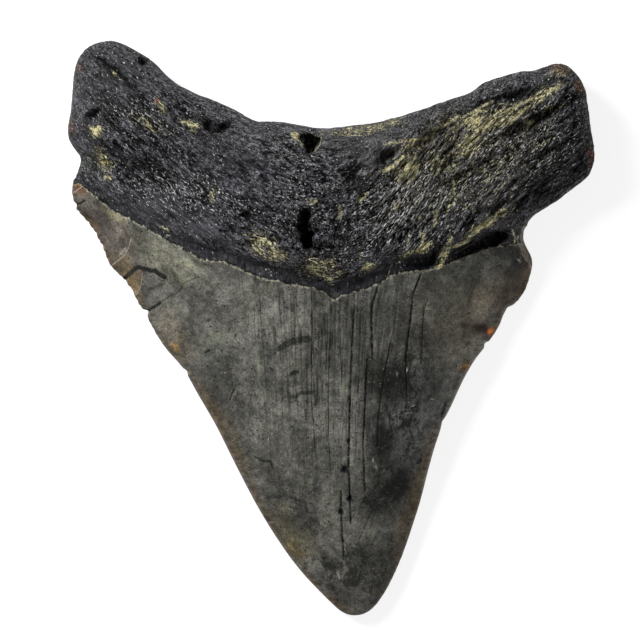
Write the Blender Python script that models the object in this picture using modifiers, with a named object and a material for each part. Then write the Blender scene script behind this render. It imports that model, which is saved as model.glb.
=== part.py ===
# A fossil megalodon tooth, lying on its flat outer (labial) face with its inner (lingual) face up.
# Root at +Y, tip at -Y, table at Z = 0. The origin is on the table under the middle of the tooth.
# The tooth is one grown and mineralised piece, so it is one solid.
# Lengths below are millimetres; the mesh is written in metres.

import bpy
import bmesh
import numpy as np
from mathutils import Vector, noise
from mathutils.geometry import interpolate_bezier

MM = 0.001

# The outline, clockwise seen from above. Each run is smooth, and runs meet at corners, nicks and chips.
OUTLINE_RUNS = {
    "left root lobe": [
        (-49.9, 34.2), (-51.1, 35.4), (-52.5, 37.8), (-52.7, 40.0), (-52.1, 43.2), (-51.7, 48.0),
        (-51.3, 51.6), (-50.3, 54.4), (-48.5, 56.4), (-45.9, 57.3), (-43.5, 57.4), (-40.7, 56.4),
        (-35.1, 52.7), (-32.7, 50.2), (-29.5, 48.0), (-23.1, 45.2), (-18.3, 43.0), (-15.3, 41.1),
    ],
    "root margin": [
        (-15.3, 41.1), (-11.3, 41.2), (-5.5, 40.4), (-2.3, 39.8), (2.5, 40.2), (8.9, 41.0),
        (13.7, 42.2), (18.5, 43.8), (23.3, 45.6), (27.7, 46.9), (29.7, 48.6), (32.9, 50.0), (38.3, 51.5),
    ],
    "right root lobe": [
        (38.3, 51.5), (39.3, 51.2), (41.7, 51.8), (44.1, 52.8), (46.5, 52.8), (48.9, 50.8),
        (50.5, 48.4), (51.1, 44.8), (51.7, 40.6), (52.6, 35.6), (52.1, 32.8), (50.5, 30.2),
        (45.7, 26.6), (42.1, 24.0), (39.3, 21.2), (38.1, 18.2), (38.9, 16.0), (40.1, 13.6),
        (39.8, 10.8), (38.5, 7.8), (36.5, 5.4), (34.4, 3.6),
    ],
    "right shoulder chip": [(34.4, 3.6), (33.7, 1.2), (32.5, -0.8), (30.5, -3.2)],
    "right edge above the nick": [
        (30.5, -3.2), (28.5, -5.8), (26.9, -8.8), (24.5, -14.0), (22.7, -17.7), (21.9, -18.5),
    ],
    "right edge, tip and left edge": [
        (21.9, -18.5), (21.8, -19.8), (20.5, -23.8), (19.1, -28.8), (17.7, -34.4), (15.7, -40.8),
        (13.7, -46.4), (11.3, -51.6), (8.9, -55.2), (6.9, -56.9), (4.7, -57.4), (2.7, -57.0),
        (0.3, -55.1), (-5.1, -49.6), (-8.9, -44.8), (-13.9, -37.0), (-18.3, -28.8), (-23.1, -19.2),
        (-26.3, -13.7), (-29.1, -8.6),
    ],
    "left edge above the chip": [(-29.1, -8.6), (-29.5, -7.8), (-33.1, -3.2), (-36.5, 2.0), (-36.8, 3.2)],
    "left shoulder": [
        (-36.8, 3.2), (-38.1, 4.2), (-39.3, 6.2), (-43.7, 13.0), (-46.7, 18.0), (-49.1, 21.6),
        (-50.9, 25.0), (-51.8, 28.2), (-51.1, 30.7), (-50.2, 32.8), (-49.9, 34.2),
    ],
}

# Where the crown's enamel ends on the lingual face, left to right. The bourlette lies above it.
ENAMEL_LINE = [
    (-50.3, 28.8), (-44.1, 23.8), (-36.9, 19.9), (-29.9, 16.0), (-25.5, 13.5), (-21.5, 13.3),
    (-14.9, 10.2), (-9.9, 9.2), (-1.9, 7.6), (0.5, 5.5), (2.1, 6.6), (7.9, 8.2), (13.3, 11.1),
    (19.1, 11.5), (25.1, 13.5), (31.3, 16.3), (37.3, 16.9),
]
# The neck, where the root leaves the crown: the same line without its small bends.
NECK_LINE = [(-50.3, 31.0), (-36.9, 22.4), (-21.5, 15.0), (0.0, 9.8), (19.1, 13.6), (37.3, 18.8)]
# The end of the enamel on the labial face, where it reaches further up and ends in a gentle arc.
LABIAL_LINE = [(-51.0, 30.0), (-26.0, 25.5), (-3.0, 22.0), (18.0, 21.5), (39.0, 18.0)]
# The highest line of the root, lobe to lobe.
ROOT_CREST = [
    (-49.0, 46.5), (-40.0, 44.6), (-33.0, 40.6), (-26.0, 35.6), (-16.0, 30.0), (-4.0, 27.2),
    (7.0, 29.6), (18.0, 34.6), (30.0, 39.6), (42.0, 44.0), (49.0, 44.6),
]

# The crown's half width grows from the tip as START + ROOT x sqrt(height) + SQUARE x height squared,
# about an axis that swings over to +X at the tip.
TIP_Y = -57.4
WIDTH_START = 0.8
WIDTH_ROOT = 3.1
WIDTH_SQUARE = 0.003
AXIS_X = -1.1
TIP_SWING = 5.8
SWING_REACH = 22.0

FOOT_HEIGHT = 66.0        # from the tip to the crown's foot on the tooth's axis
TIP_THICKNESS = 3.2
FOOT_THICKNESS = 16.5
CROWN_TAPER = 0.75
LOBE_THICKNESS = 14.5
BOSS_THICKNESS = 25.5     # the root's thickest place, over the middle of the crown
BOSS_X = -4.0
BOSS_REACH = 24.0
ROOT_FALL = 0.03          # how fast the root falls away beyond its crest
BAND_WIDTH = 2.2          # the bourlette
BAND_RECESS = 0.6
LEDGE = 1.4               # the root's step up from the bourlette
CROWN_EDGE_Z = 1.9        # height of the cutting edge above the table
EDGE_HALF = 0.7           # half the thickness of the worn cutting edge
ROOT_EDGE_Z = 6.5
ROOT_EDGE_RISE = 2.5
ROOT_EDGE_REACH = 20.0
CROWN_ROUNDING = 1.3
ROOT_ROUNDING = 7.0
EDGE_START = 0.3          # how far round its rounding the outline starts, which leaves a blunt edge
LABIAL_BULGE = 1.6
TIP_LIFT = 0.6
TIP_LIFT_REACH = 16.0
TABLE_CLEARANCE = 0.3     # how much of the labial bulge is worn flat where the tooth rests
LABIAL_HOLLOW = 1.5       # the root's labial face is hollow between its lobes, which rest on the table
LABIAL_HOLLOW_REACH = 33.0

# Hollows in the lingual face: centre, half length, half width, turn in degrees, depth.
HOLLOWS = {
    "foramen slot": ((-4.9, 19.4), 4.6, 1.4, 86, 3.6),
    "upper foramen": ((-4.1, 36.6), 2.9, 2.3, -20, 4.2),
    "left pit": ((-22.5, 40.1), 3.0, 1.5, -15, 1.9),
    "lobe pit": ((-47.4, 41.6), 2.4, 1.9, 60, 1.5),
    "lobe nick": ((-37.6, 53.2), 1.5, 1.1, -35, 0.9),
    "gold hollow": ((11.5, 33.8), 3.6, 1.9, 40, 1.4),
    "ledge hollow": ((18.9, 13.4), 2.6, 1.4, 12, 1.8),
    "small pit": ((-17.0, 22.4), 1.3, 1.0, 20, 0.9),
    "gap over the right shoulder": ((29.6, 16.6), 8.4, 1.5, 22, 3.0),
    "left lobe furrow": ((-43.2, 51.2), 6.0, 1.7, -36, 0.6),
    "upper right furrow": ((35.5, 46.0), 8.5, 2.0, 17, 0.7),
    "lower right furrow": ((40.0, 40.6), 9.0, 2.2, 28, 0.9),
    "inner right furrow": ((20.6, 38.4), 7.5, 1.9, 33, 0.7),
    "middle furrow": ((4.2, 31.0), 5.5, 1.8, 14, 0.5),
    "left flake scar": ((-46.4, 19.4), 8.2, 3.6, -61, 1.1),
    "upper flake scar": ((-44.0, 24.2), 3.4, 2.0, -34, 0.8),
    "lower flake scar": ((-40.6, 9.4), 4.2, 2.4, -57, 0.9),
    "right flake scar": ((31.6, -1.0), 3.0, 1.7, 50, 0.9),
}
HOLLOW_WALL = 0.8         # the share of a hollow's half width that its sloping wall takes
CUT_LIMIT = 0.55          # the most of the tooth's thickness that a hollow takes

ROOT_LUMP = 0.6           # height of the root's uneven surface, and its wavelengths
LUMP_LONG = 6.5
LUMP_SHORT = 2.4
LUMP_STRETCH = 2.2        # the root's lumps run on along its lobes
SHAPING_VOXEL = 0.65
FINISH_VOXEL = 0.5
BLANK_HALF = 2.0
SMOOTHING_ROUNDS = 4
TRIANGLES = 9400
TABLE_SNAP = 0.06

COLOUR = (0.075, 0.075, 0.072, 1.0)
ROUGHNESS = 0.55


def smooth_line(stations, steps=6):
    """Points of a smooth line through the stations, as an array of x and y."""
    points = [Vector((x, y, 0)) for x, y in stations]
    last = len(points) - 1
    tangents = [(points[min(i + 1, last)] - points[max(i - 1, 0)]).normalized() for i in range(last + 1)]
    line = []
    for i in range(last):
        start, end = points[i], points[i + 1]
        reach = (end - start).length / 3
        handles = start + tangents[i] * reach, end - tangents[i + 1] * reach
        line += interpolate_bezier(start, *handles, end, steps + 1)[:-1]
    line.append(points[last])
    return np.array([(p.x, p.y) for p in line])


def distance_to_line(x, y, line):
    """Distance from each point to the nearest place on a line."""
    nearest = np.full(x.shape, np.inf)
    for (ax, ay), (bx, by) in zip(line[:-1], line[1:]):
        dx, dy = bx - ax, by - ay
        along = np.clip(((x - ax) * dx + (y - ay) * dy) / (dx * dx + dy * dy), 0, 1)
        nearest = np.minimum(nearest, (x - ax - along * dx) ** 2 + (y - ay - along * dy) ** 2)
    return np.sqrt(nearest)


def ramp(value, low, high):
    """Rises smoothly from 0 at low to 1 at high."""
    t = np.clip((value - low) / (high - low), 0, 1)
    return t * t * (3 - 2 * t)


def over_line(x, y, line):
    """How far a point lies on the root's side of a line that crosses the tooth."""
    return (y - np.interp(x, line[:, 0], line[:, 1])) * 0.87


OUTLINE = np.concatenate([smooth_line(run)[:-1] for run in OUTLINE_RUNS.values()])
OUTLINE_CLOSED = np.vstack([OUTLINE, OUTLINE[:1]])
ENAMEL = smooth_line(ENAMEL_LINE)
LABIAL = smooth_line(LABIAL_LINE)
CREST = smooth_line(ROOT_CREST)
NECK = smooth_line(NECK_LINE)


def across_crown(x, y):
    """0 on the crown's long axis and 1 at its cutting edges, and the height above the tip."""
    height = np.maximum(y - TIP_Y, 0)
    half_width = WIDTH_ROOT * np.sqrt(height) + WIDTH_SQUARE * height**2 + WIDTH_START
    axis_x = AXIS_X + TIP_SWING * np.exp(-height / SWING_REACH)
    return np.clip(np.abs(x - axis_x) / half_width, 0, 1), height


def crown_top(x, y):
    across, height = across_crown(x, y)
    thickness = TIP_THICKNESS + (FOOT_THICKNESS - TIP_THICKNESS) * (height / FOOT_HEIGHT) ** CROWN_TAPER
    edge = CROWN_EDGE_Z + EDGE_HALF
    return edge + (thickness - edge) * (1 - across**2.3) ** 0.8


def root_top(x, y):
    crest_y = np.interp(x, CREST[:, 0], CREST[:, 1])
    crest_z = LOBE_THICKNESS + (BOSS_THICKNESS - LOBE_THICKNESS) * np.exp(-(((x - BOSS_X) / BOSS_REACH) ** 2))
    neck_y = np.interp(x, NECK[:, 0], NECK[:, 1])
    neck_z = crown_top(x, neck_y) + LEDGE
    below = np.clip((crest_y - y) / (crest_y - neck_y), 0, 1)
    above = np.maximum(y - crest_y, 0)
    return crest_z - (crest_z - neck_z) * below**2 - ROOT_FALL * above**2


def lingual_height(x, y):
    """The upper face before its edge is rounded: crown, bourlette and root."""
    rootward = over_line(x, y, ENAMEL)
    crown = crown_top(x, y)
    band = BAND_RECESS * ramp(rootward, -0.3, 0.6)
    root = ramp(rootward, BAND_WIDTH - 0.4, BAND_WIDTH + 1.2)
    return (crown - band) * (1 - root) + root_top(x, y) * root


def labial_height(x, y):
    """The lower face: nearly flat, and worn level where the tooth rests on the table."""
    across, height = across_crown(x, y)
    crown = LABIAL_BULGE * across**2.4 + TIP_LIFT * (1 - ramp(height, 0, TIP_LIFT_REACH)) - TABLE_CLEARANCE
    root = LABIAL_HOLLOW * (1 - (x / LABIAL_HOLLOW_REACH) ** 2)
    rootward = ramp(over_line(x, y, LABIAL), -0.5, 1.0)
    return np.maximum(crown, 0) * (1 - rootward) + np.maximum(root, 0) * rootward


def edge_height(x, y):
    """Height of the widest line round the tooth, low on the crown and higher on the root."""
    rootward = ramp(over_line(x, y, NECK), -8, 5)
    root = ROOT_EDGE_Z + ROOT_EDGE_RISE * np.exp(-((x / ROOT_EDGE_REACH) ** 2))
    return CROWN_EDGE_Z + (root - CROWN_EDGE_Z) * rootward, rootward


def rounding(depth, radius):
    """A quarter circle from the outline inwards."""
    return np.sqrt(1 - (1 - np.clip((depth + EDGE_START) / radius, 0, 1)) ** 2)


def shape_blank(points):
    """Moves a flat slab's points, in millimetres, to the tooth's form."""
    x, y, z = points.T
    side = np.clip(z / BLANK_HALF, -1, 1)
    depth = distance_to_line(x, y, OUTLINE_CLOSED)
    edge, rootward = edge_height(x, y)
    rounded = rounding(depth, CROWN_ROUNDING + (ROOT_ROUNDING - CROWN_ROUNDING) * rootward)
    up = (lingual_height(x, y) - edge) * rounded
    down = (edge - labial_height(x, y)) * rounded
    points[:, 2] = edge + np.where(side > 0, side * up, side * down)


def lumps(points, size, seed):
    """Smooth unevenness from -1 to 1, with bumps of about this size that run on along the root's lobes."""
    crest_y = np.interp(points[:, 0], CREST[:, 0], CREST[:, 1])
    along, across, up = points[:, 0] / LUMP_STRETCH, points[:, 1] - crest_y, points[:, 2]
    spots = np.stack([along, across, up], axis=1) / size + seed * np.pi
    return np.array([noise.noise(Vector(spot)) for spot in spots])


def hollow_depth(x, y):
    """How deep the hollows cut below each point."""
    cut = np.zeros(len(x))
    for (cx, cy), half_length, half_width, turn, depth in HOLLOWS.values():
        c, s = np.cos(np.radians(turn)), np.sin(np.radians(turn))
        along = ((x - cx) * c + (y - cy) * s) / half_length
        across = ((y - cy) * c - (x - cx) * s) / half_width
        cut = np.maximum(cut, depth * ramp(1 - np.hypot(along, across), 0, HOLLOW_WALL))
    return cut


def carve(points):
    """Cuts the hollows and the root's unevenness into the upper face."""
    x, y, z = points.T
    lower = labial_height(x, y)
    upper = ramp(z - (edge_height(x, y)[0] + lower) / 2, 0, 1.0)
    uneven = ROOT_LUMP * (lumps(points, LUMP_LONG, 1) + 0.5 * lumps(points, LUMP_SHORT, 2))
    on_root = ramp(over_line(x, y, ENAMEL), BAND_WIDTH, BAND_WIDTH + 1.5) * ramp(z, 1.0, 4.0)
    cut = np.minimum(hollow_depth(x, y), CUT_LIMIT * np.maximum(z - lower, 0))
    points[:, 2] = z - upper * cut + on_root * uneven


def evaluated_mesh(obj, name):
    """The object's mesh with its modifiers applied, as a new object; the old one is removed."""
    graph = bpy.context.evaluated_depsgraph_get()
    mesh = bpy.data.meshes.new_from_object(obj.evaluated_get(graph))
    bpy.data.objects.remove(obj)
    new = bpy.data.objects.new(name, mesh)
    collection.objects.link(new)
    return new


def move_points(obj, change):
    """Runs change on the mesh's points in millimetres and writes them back."""
    points = np.empty(len(obj.data.vertices) * 3)
    obj.data.vertices.foreach_get("co", points)
    points = points.reshape(-1, 3) / MM
    change(points)
    obj.data.vertices.foreach_set("co", (points * MM).ravel())
    obj.data.update()


def remesh(obj, voxel, smoothing_rounds=0):
    modifier = obj.modifiers.new("even faces", "REMESH")
    modifier.mode = "VOXEL"
    modifier.voxel_size = voxel * MM
    if smoothing_rounds:
        smooth = obj.modifiers.new("without steps", "SMOOTH")
        smooth.factor = 0.5
        smooth.iterations = smoothing_rounds
    return evaluated_mesh(obj, "tooth")


def outline_slab():
    """A flat slab with the tooth's outline, from a filled 2D curve."""
    data = bpy.data.curves.new("tooth outline", "CURVE")
    data.dimensions = "2D"
    data.fill_mode = "BOTH"
    data.extrude = BLANK_HALF * MM
    spline = data.splines.new("POLY")
    spline.points.add(len(OUTLINE) - 1)
    for point, (x, y) in zip(spline.points, OUTLINE):
        point.co = (x * MM, y * MM, 0, 1)
    spline.use_cyclic_u = True
    curve = bpy.data.objects.new("tooth outline", data)
    collection.objects.link(curve)
    slab = evaluated_mesh(curve, "tooth")
    bm = bmesh.new()
    bm.from_mesh(slab.data)
    bmesh.ops.remove_doubles(bm, verts=bm.verts, dist=0.01 * MM)
    bm.to_mesh(slab.data)
    bm.free()
    return slab


def rest_on_table(points):
    """Levels the places that touch the table."""
    points[points[:, 2] < TABLE_SNAP, 2] = 0


def tooth():
    obj = remesh(outline_slab(), SHAPING_VOXEL)
    move_points(obj, shape_blank)
    obj = remesh(obj, FINISH_VOXEL, SMOOTHING_ROUNDS)
    move_points(obj, carve)
    faces = sum(len(p.vertices) - 2 for p in obj.data.polygons)
    modifier = obj.modifiers.new("fewer faces", "DECIMATE")
    modifier.ratio = TRIANGLES / faces
    obj = evaluated_mesh(obj, "tooth")
    move_points(obj, rest_on_table)
    return obj


def fossil_material():
    material = bpy.data.materials.new("fossil tooth")
    material.use_nodes = True
    shader = material.node_tree.nodes["Principled BSDF"]
    shader.inputs["Base Color"].default_value = COLOUR
    shader.inputs["Roughness"].default_value = ROUGHNESS
    shader.inputs["Metallic"].default_value = 0.0
    return material


for old in list(bpy.data.objects):
    bpy.data.objects.remove(old)
collection = bpy.data.collections.new("megalodon tooth")
bpy.context.scene.collection.children.link(collection)
fossil = tooth()
fossil.data.materials.clear()
fossil.data.materials.append(fossil_material())
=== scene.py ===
# A fossil megalodon tooth lying on its flat outer face, seen from straight above.
# Places and lengths in the dictionaries are millimetres, in the solid's frame:
# root at +Y, tip at -Y, table at Z 0.

import math

import bmesh
import bpy
import numpy as np
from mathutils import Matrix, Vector, kdtree, noise


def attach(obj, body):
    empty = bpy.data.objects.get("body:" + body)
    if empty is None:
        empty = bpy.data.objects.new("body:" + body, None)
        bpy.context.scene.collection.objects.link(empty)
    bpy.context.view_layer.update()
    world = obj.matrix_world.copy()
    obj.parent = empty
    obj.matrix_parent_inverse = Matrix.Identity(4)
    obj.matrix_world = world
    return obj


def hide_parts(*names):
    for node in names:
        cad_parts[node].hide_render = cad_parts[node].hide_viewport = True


mm = 0.001
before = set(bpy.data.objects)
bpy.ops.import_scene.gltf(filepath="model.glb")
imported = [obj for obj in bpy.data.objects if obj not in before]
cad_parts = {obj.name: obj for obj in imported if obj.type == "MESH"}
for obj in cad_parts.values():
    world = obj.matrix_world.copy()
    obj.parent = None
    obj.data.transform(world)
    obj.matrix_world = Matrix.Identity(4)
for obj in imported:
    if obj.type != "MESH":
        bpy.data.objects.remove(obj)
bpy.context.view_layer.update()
noise.seed_set(1)    # otherwise noise_vector starts from the clock, and no two runs are alike


# the camera and the lights

view = {
    "centre": (-2.3, 1.6),
    "width": 128.0,          # what the square picture takes in
    "focus": 6.0,            # the height at which that width is measured
    "lens": 400.0,
    "sensor": 36.0,
    "clip": (0.01, 10.0),    # shares of the camera's distance
}
studio = {
    "keyPlace": (-400.0, 330.0, 400.0),
    "keySize": 240.0,
    "keyPower": 5.4,
    "fillPlace": (430.0, -120.0, 420.0),
    "fillSize": 380.0,
    "fillPower": 0.45,
    "skyLight": 0.22,
    "floorColour": (0.30, 0.30, 0.30),
    "floorGlow": 0.82,       # a light table, so that the shadow stays faint
    "floorRoughness": 0.9,
    "white": (1, 1, 1, 1),
    "floorSize": 40000.0,
    "floorDrop": 0.06,       # keeps the floor off the face that rests on it
}


def makeCamera():
    data = bpy.data.cameras.new("camera")
    data.lens = view["lens"]
    data.sensor_width = view["sensor"]
    distance = view["width"] / 2 / (view["sensor"] / 2 / view["lens"])
    data.clip_start, data.clip_end = (distance * mm * share for share in view["clip"])
    camera = bpy.data.objects.new("camera", data)
    camera.location = Vector((*view["centre"], view["focus"] + distance)) * mm
    bpy.context.scene.collection.objects.link(camera)
    bpy.context.scene.camera = camera


def makeLight(name, place, size, power):
    data = bpy.data.lights.new(name, "AREA")
    data.size = size * mm
    data.energy = power
    light = bpy.data.objects.new(name, data)
    light.location = Vector(place) * mm
    light.rotation_euler = (-Vector(place)).to_track_quat("-Z", "Y").to_euler()
    bpy.context.scene.collection.objects.link(light)


def makeStudio():
    makeLight("key", studio["keyPlace"], studio["keySize"], studio["keyPower"])
    makeLight("fill", studio["fillPlace"], studio["fillSize"], studio["fillPower"])
    world = bpy.data.worlds.new("sky")
    world.use_nodes = True
    sky = world.node_tree.nodes["Background"]
    sky.inputs["Color"].default_value = studio["white"]
    sky.inputs["Strength"].default_value = studio["skyLight"]
    bpy.context.scene.world = world
    bpy.context.scene.view_settings.view_transform = "Standard"

    bm = bmesh.new()
    bmesh.ops.create_grid(bm, x_segments=1, y_segments=1, size=studio["floorSize"] / 2 * mm)
    bmesh.ops.translate(bm, verts=bm.verts, vec=(0, 0, -studio["floorDrop"] * mm))
    floor = meshObject("floor", bm)
    paint = bpy.data.materials.new("pale floor")
    paint.use_nodes = True
    shader = paint.node_tree.nodes["Principled BSDF"]
    shader.inputs["Base Color"].default_value = (*studio["floorColour"], 1)
    shader.inputs["Roughness"].default_value = studio["floorRoughness"]
    shader.inputs["Emission Color"].default_value = studio["white"]
    shader.inputs["Emission Strength"].default_value = studio["floorGlow"]
    floor.data.materials.append(paint)


def meshObject(name, bm):
    mesh = bpy.data.meshes.new(name)
    bm.to_mesh(mesh)
    bm.free()
    obj = bpy.data.objects.new(name, mesh)
    bpy.context.scene.collection.objects.link(obj)
    return obj


# where things are on the tooth

landmarks = {
    "enamelLine": [
        (-50.3, 28.8), (-44.1, 23.8), (-36.9, 19.9), (-29.9, 16), (-25.5, 13.5), (-21.5, 13.3),
        (-14.9, 10.2), (-9.9, 9.2), (-1.9, 7.6), (0.5, 5.5), (2.1, 6.6), (7.9, 8.2), (13.3, 11.1),
        (19.1, 11.5), (25.1, 13.5), (31.3, 16.3), (37.3, 16.9),
    ],
    "bandTop": [
        (-50.3, 29.6), (-42.1, 24.8), (-36.9, 21.4), (-33.9, 19.6), (-25.3, 16.6), (-22.3, 15.8),
        (-14.1, 13.3), (-6.7, 10.4), (-1.9, 9.2), (0.3, 8.5), (2.9, 10), (5.7, 10.1), (8.5, 11.6),
        (11.9, 12.8), (15.9, 14.7), (19.5, 14.9), (24.5, 16.8), (31.3, 19.4), (37.3, 20.6),
    ],
    "grainLine": [
        (-52, 63), (-40, 53), (-28, 43.5), (-16, 36), (-6, 32), (2, 31),
        (8, 34.5), (14, 41), (22, 51), (32, 60.5), (44, 70.5), (54, 78.5),
    ],
    "labialLine": [(-51, 30), (-26, 25.5), (-3, 22), (18, 21.5), (39, 18)],
}

# Cracks in the enamel: half width, strength, stations.
cracks = {
    "long middle": (0.19, 1, [(4.4, 3.4), (4, -6), (3.7, -14.4), (3.5, -23.4), (3.4, -27), (3.5, -29.6),
                              (3.7, -34), (3.9, -38.8)]),
    "second": (0.17, 1, [(7.1, -6.4), (6.8, -12.8), (6.5, -20.4), (6.3, -22.6), (6.5, -28.2),
                         (6.7, -32.4)]),
    "third": (0.13, 0.85, [(11.7, -3), (10.9, -7.4), (10.1, -11.8), (9.3, -18), (9.2, -23.6)]),
    "under the point": (0.2, 1, [(9.1, 8), (8.1, 4.6), (7.9, 2.4), (8.1, -5.2)]),
    "right": (0.18, 1, [(17.7, 10.6), (16.2, 6.6), (15.8, 2.4), (15.3, -1.6), (14.8, -5.8), (15, -14)]),
    "far right": (0.12, 0.8, [(19.1, 5.6), (18.3, 3), (18.1, -0.6), (17.9, -6.8)]),
    "left": (0.11, 0.75, [(-3.9, 2.6), (-3.9, -15), (-3.5, -20.6), (-3.1, -25.6)]),
    "fine left": (0.09, 0.6, [(1.8, 5.8), (1.7, -0.6)]),
    "fine middle": (0.1, 0.65, [(-0.2, 0.2), (-0.5, -5.8), (-0.6, -14.4), (-0.6, -20.6), (-0.2, -28.6)]),
    "upper left fine": (0.08, 0.5, [(-9.6, 7.4), (-9.4, 1), (-9, -6)]),
    "upper left finer": (0.08, 0.5, [(-14.2, 7), (-14, 0), (-13.2, -9)]),
    "between": (0.08, 0.5, [(5.9, 4), (5.7, -4), (5.4, -12)]),
    "right fine": (0.08, 0.5, [(13.2, 7.4), (12.6, 1), (12.2, -4)]),
    "lower": (0.17, 0.95, [(1.9, -32.8), (1.9, -36.8), (2.1, -40), (2.5, -46.4)]),
    "oblique": (0.11, 0.5, [(7.9, -36.8), (5.3, -42.8)]),
    "left notch": (0.2, 1, [(-37.2, 3.2), (-34.3, 4.8)]),
    "right notch": (0.3, 1, [(22.7, -15.2), (22.2, -17), (21.8, -18.6)]),
    "slash": (0.12, 0.8, [(-19.4, -12.2), (-20.3, -14.2)]),
    "corner notch": (0.2, 0.9, [(-51, 24.7), (-49.4, 25.4)]),
}
stains = {
    "arched mark": (0.5, 1, [(-41.4, 10.1), (-38.8, 12.2), (-38, 12), (-36.5, 11.6), (-35.3, 11.4),
                             (-33.3, 10.1)]),
    "mark below it": (0.32, 0.6, [(-36.5, 7.7), (-33.9, 8.7)]),
    "line from the notch": (0.17, 0.55, [(-36.3, 4), (-32.9, 6), (-30.4, 7.3), (-29.4, 9.1),
                                         (-26.7, 10.1)]),
    "smudge": (0.8, 0.8, [(-10.1, -4), (-8.6, -2.9), (-6.6, -2.4), (-4.8, -2.2)]),
    "curled mark": (0.42, 0.75, [(-7.8, -13.7), (-7, -13.7), (-6.2, -12.9), (-3.9, -12.9)]),
    "pit mark": (0.5, 0.9, [(-7.9, -9.1), (-7.4, -8.8)]),
    "squiggle": (0.26, 0.7, [(-15.3, -25.7), (-13.6, -26.6), (-12.2, -26.6), (-11.8, -27.8)]),
    "low line": (0.35, 0.5, [(-12.8, -33.9), (-9.2, -33.5), (-5.1, -34.7), (-4.9, -37)]),
    "low line's branch": (0.3, 0.45, [(-5.5, -33.5), (-2.7, -31.8)]),
    "right dash": (0.42, 0.7, [(12.7, -31.2), (15.5, -32)]),
    "right stroke": (0.45, 0.65, [(9.9, -32.8), (13.3, -30)]),
    "upper hole": (0.62, 1, [(2.6, -28.1), (2.8, -28.3)]),
    "lower hole": (0.5, 1, [(3.6, -33.9), (3.8, -34.1)]),
    "small hole": (0.4, 0.9, [(1.8, -36.4), (2, -37)]),
    "brown hole": (0.34, 0.8, [(3.2, -22.4), (3.4, -22.8)]),
    "upper left dot": (0.3, 0.75, [(-24.7, 1.5), (-24.4, 1.6)]),
    "left dot": (0.32, 0.85, [(-25, -4.8), (-24.5, -4.4)]),
    "left dot's pair": (0.25, 0.7, [(-22.6, -6.6), (-22.4, -6.6)]),
    "middle dot": (0.28, 0.8, [(-11.9, -8.2), (-11.8, -8.3)]),
    "upper dash": (0.26, 0.6, [(-20, -3.8), (-19, -4)]),
    "edge stain": (0.6, 0.8, [(-13.5, -38), (-12.9, -38.3)]),
    "right edge stain": (0.45, 0.9, [(17.8, -26.4), (17.4, -26.8)]),
}
# Pale chips and flecks in the enamel, and painted highlights along lit edges of a flake, the gap and the
# neck: half width, strength, stations.
chipAndHighlights = {
    "flake's edge": (0.1, 0.7, [(-43.9, 12.7), (-42.1, 14), (-41.2, 14.8), (-40.6, 16), (-40, 17.9)]),
    "gold flake's edge": (0.08, 0.4, [(-37.8, 10.9), (-38, 9.1), (-38.6, 7.3), (-39.4, 6.4)]),
    "corner line": (0.1, 0.8, [(-51.5, 27.2), (-49.9, 28.3)]),
    "neck's rim": (0.3, 0.38, [(41.1, 23.6), (38.7, 21), (37.9, 18.4), (38.2, 16.2), (39.2, 14.2),
                               (39.9, 12.2)]),
    "neck's inner line": (0.12, 0.5, [(36.3, 19.2), (37.5, 16.8), (38.3, 14.6), (39.2, 13.2)]),
    "flake's glint": (0.2, 0.55, [(-42.2, 14.9), (-41.2, 16)]),
    "gap's upper edge": (0.09, 0.38, [(24.7, 14.9), (28, 16.8), (31.4, 18.8), (34.2, 19.5), (36.2, 18.6)]),
    "gap's lit edge": (0.11, 0.45, [(23.7, 12.9), (27.7, 14.7), (31.7, 16.5), (35.3, 17.1)]),
    "shoulder speck": (0.22, 1, [(37.5, 13.5), (37.6, 13.4)]),
    "pale flake": (0.24, 0.45, [(1.2, -48.8), (1.6, -50)]),
    "speck 1": (0.16, 1, [(16.2, -15.6), (16.4, -15.5)]),
    "speck 2": (0.13, 0.9, [(20.1, -14.2), (20.2, -14.2)]),
    "speck 3": (0.15, 1, [(8.2, -26.3), (8.2, -26.4)]),
    "speck 4": (0.15, 1, [(8.9, -27.6), (8.9, -27.7)]),
    "speck 5": (0.13, 0.9, [(15, -8.2), (15, -8.5)]),
    "speck 6": (0.12, 0.8, [(13, -9.1), (13, -9.2)]),
    "speck 7": (0.12, 0.8, [(-12.6, -22.1), (-12.6, -22.2)]),
    "speck 8": (0.13, 0.7, [(-6.3, 1.6), (-6.2, 0.9)]),
}

# Painted shade along creases in the root.
creaseShades = {
    "left lobe": (0.34, 0.95, [(-46.3, 53.8), (-44.7, 52.4), (-43.1, 51.6), (-41.9, 50.4), (-40.5, 48.8),
                               (-38.9, 47.8)]),
    "below it": (0.26, 0.8, [(-40.1, 46.2), (-38.3, 45), (-36.7, 43.8), (-34.7, 42)]),
    "beside it": (0.22, 0.7, [(-42.9, 46), (-41.5, 45.8), (-39.7, 44.4), (-38.3, 43)]),
    "upper slope": (0.22, 0.8, [(-33.7, 46.6), (-32.7, 46.2), (-31.3, 46.4)]),
    "lobe's dark spot": (0.4, 0.6, [(-46.4, 46.3), (-44.8, 46.9)]),
    "over the long streak": (0.3, 0.85, [(33.3, 46), (30.7, 45.2), (28.7, 43.8), (26.1, 42.2),
                                         (23.1, 41.2)]),
    "upper right": (0.42, 0.95, [(39.7, 46.4), (40.7, 47.4), (43.3, 47.6)]),
    "lower right": (0.4, 0.95, [(34.7, 38.6), (37.7, 40.8), (39.7, 42), (42.7, 43.6), (45.7, 45)]),
    "lower right's end": (0.6, 1, [(44.1, 44), (47.7, 46), (49.7, 46.2)]),
    "right hollow": (0.5, 0.9, [(31.7, 36.8), (33.1, 37.4)]),
    "crevice by the bridge": (0.4, 1, [(24.1, 18.2), (22.1, 16.6), (20.5, 14.6), (19.7, 12.6)]),
    "middle": (0.26, 0.7, [(13.5, 31), (17, 34.4), (21, 36.8)]),
    "under the right lobe": (0.28, 0.7, [(34, 30), (38, 33), (43, 36.5)]),
    "right middle": (0.24, 0.6, [(24, 28), (28.5, 31), (33, 34.6)]),
}
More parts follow.
